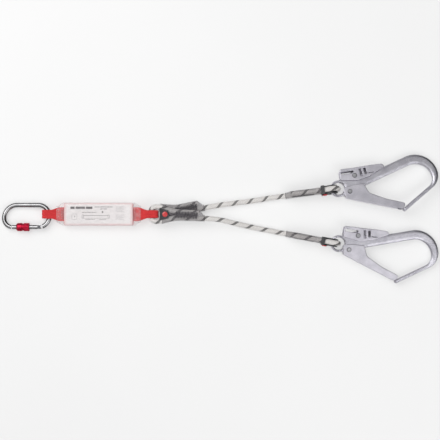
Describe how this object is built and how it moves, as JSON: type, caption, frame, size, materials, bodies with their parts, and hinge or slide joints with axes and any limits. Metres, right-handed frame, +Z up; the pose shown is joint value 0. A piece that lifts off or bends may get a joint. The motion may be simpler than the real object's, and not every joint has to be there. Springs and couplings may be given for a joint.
{
  "type": "twin-leg shock absorbing lanyard",
  "caption": "Energy absorber pack with a screw-gate oval karabiner at one end and two rope legs to large sprung-gate scaffold hooks at the other.",
  "frame": {"origin": "on the supporting surface, under the middle of the energy absorber pack", "axes": "+X from the karabiner towards the hooks, +Y across the lanyard towards the left leg, +Z up off the surface"},
  "size_m": [0.9398, 0.2767, 0.0403],
  "materials": {
    "red_webbing": "woven polyester",
    "label": "printed film",
    "clear_pvc": "translucent flexible PVC",
    "black_thread": "bonded polyester thread",
    "red_sleeve": "anodised red, satin",
    "zinc_steel": "zinc plated, satin",
    "spring_steel": "drawn spring wire",
    "rope": "braided polyamide sheath with a black tracer",
    "black_plastic": "moulded, satin",
    "red_plastic": "moulded, glossy",
    "forged_hook": "forged and galvanised, semi-bright",
    "pressed_sheet": "pressed and galvanised sheet"
  },
  "bodies": {
    "absorber": {"tear_webbing_pack": "red_webbing", "instruction_label": "label", "clear_cover": "clear_pvc", "harness_loop": "red_webbing", "rope_loop": "red_webbing", "harness_loop_stitching": "black_thread", "rope_loop_stitching": "black_thread"},
    "karabiner": {"karabiner_frame": "zinc_steel", "karabiner_hinge_rivet": "zinc_steel", "karabiner_latch_pin": "zinc_steel"},
    "karabiner_gate": {"karabiner_gate": "zinc_steel", "karabiner_gate_plunger": "zinc_steel", "karabiner_gate_spring": "spring_steel"},
    "sleeve_carrier": {"sleeve_stop_ring": "spring_steel"},
    "screw_sleeve": {"screw_sleeve": "red_sleeve"},
    "left_leg": {"left_loop_eye_rope": "rope", "left_loop_eye_spacer": "black_plastic", "left_loop_eye_button": "red_plastic", "left_loop_eye_stitching": "black_thread", "left_loop_eye_sleeve": "clear_pvc", "left_hook_eye_rope": "rope", "left_hook_eye_spacer": "black_plastic", "left_hook_eye_button": "red_plastic", "left_hook_eye_stitching": "black_thread", "left_hook_eye_sleeve": "clear_pvc", "left_rope_arm": "rope"},
    "left_hook": {"left_hook_body": "forged_hook", "left_gate_rivet": "zinc_steel", "left_lever_rivet": "zinc_steel", "left_gate_spring": "spring_steel", "left_lever_spring": "spring_steel"},
    "left_gate": {"left_hook_gate": "pressed_sheet"},
    "left_lever": {"left_hook_lever": "pressed_sheet"},
    "right_leg": {"right_loop_eye_rope": "rope", "right_loop_eye_spacer": "black_plastic", "right_loop_eye_button": "red_plastic", "right_loop_eye_stitching": "black_thread", "right_loop_eye_sleeve": "clear_pvc", "right_hook_eye_rope": "rope", "right_hook_eye_spacer": "black_plastic", "right_hook_eye_button": "red_plastic", "right_hook_eye_stitching": "black_thread", "right_hook_eye_sleeve": "clear_pvc", "right_rope_arm": "rope"},
    "right_hook": {"right_hook_body": "forged_hook", "right_gate_rivet": "zinc_steel", "right_lever_rivet": "zinc_steel", "right_gate_spring": "spring_steel", "right_lever_spring": "spring_steel"},
    "right_gate": {"right_hook_gate": "pressed_sheet"},
    "right_lever": {"right_hook_lever": "pressed_sheet"}
  },
  "joints": [
    {"name": "karabiner_swing", "type": "hinge", "parent": "absorber", "child": "karabiner", "pos_m": [-0.10621, -0.00001, 0.00965], "axis": [0, 1, 0], "range_deg": [-15, 45]},
    {"name": "karabiner_gate_open", "type": "hinge", "parent": "karabiner", "child": "karabiner_gate", "pos_m": [-0.12827, -0.02773, 0.01114], "axis": [0.0313, -0.0785, -0.9964], "range_deg": [0, 26], "stiffness_Nm_per_rad": 0.12, "springref_deg": -17.19},
    {"name": "sleeve_travel", "type": "slide", "parent": "karabiner_gate", "child": "sleeve_carrier", "axis": [-0.9995, 0, -0.0314], "range_m": [0, 0.012]},
    {"name": "sleeve_turn", "type": "hinge", "parent": "sleeve_carrier", "child": "screw_sleeve", "pos_m": [-0.16325, -0.02773, 0.01004], "axis": [-0.9995, 0, -0.0314], "range_deg": [0, 1440]},
    {"name": "left_leg_swing", "type": "hinge", "parent": "absorber", "child": "left_leg", "pos_m": [0.1115, 0, 0.0092], "axis": [0, 1, 0], "range_deg": [0, 22]},
    {"name": "left_hook_swing", "type": "hinge", "parent": "left_leg", "child": "left_hook", "pos_m": [0.5143, 0.0542, 0.021], "axis": [0.0032, 0.1811, 0.9835], "range_deg": [-36, 45]},
    {"name": "left_hook_gate_open", "type": "hinge", "parent": "left_hook", "child": "left_gate", "pos_m": [0.53836, 0.04748, 0.02216], "axis": [0.0032, 0.1811, 0.9835], "range_deg": [0, 30], "stiffness_Nm_per_rad": 0.25, "springref_deg": -20.05},
    {"name": "left_lever_squeeze", "type": "hinge", "parent": "left_hook", "child": "left_lever", "pos_m": [0.54869, 0.08132, 0.01589], "axis": [-0.0032, -0.1811, -0.9835], "range_deg": [0, 7], "stiffness_Nm_per_rad": 0.5, "springref_deg": -11.46},
    {"name": "right_leg_swing", "type": "hinge", "parent": "absorber", "child": "right_leg", "pos_m": [0.1115, 0, 0.0244], "axis": [0, -1, 0], "range_deg": [0, 22]},
    {"name": "right_hook_swing", "type": "hinge", "parent": "right_leg", "child": "right_hook", "pos_m": [0.5149, -0.063, 0.021], "axis": [0.0662, 0, 0.9978], "range_deg": [-45, 20]},
    {"name": "right_hook_gate_open", "type": "hinge", "parent": "right_hook", "child": "right_gate", "pos_m": [0.53615, -0.0761, 0.01959], "axis": [0.0662, 0, 0.9978], "range_deg": [0, 30], "stiffness_Nm_per_rad": 0.25, "springref_deg": -20.05},
    {"name": "right_lever_squeeze", "type": "hinge", "parent": "right_hook", "child": "right_lever", "pos_m": [0.55541, -0.0458, 0.01831], "axis": [-0.0662, 0, -0.9978], "range_deg": [0, 7], "stiffness_Nm_per_rad": 0.5, "springref_deg": -11.46}
  ],
  "couplings": [
    {"joint": "sleeve_travel", "follows": "sleeve_turn", "m_per_rad": 0.000477}
  ]
}
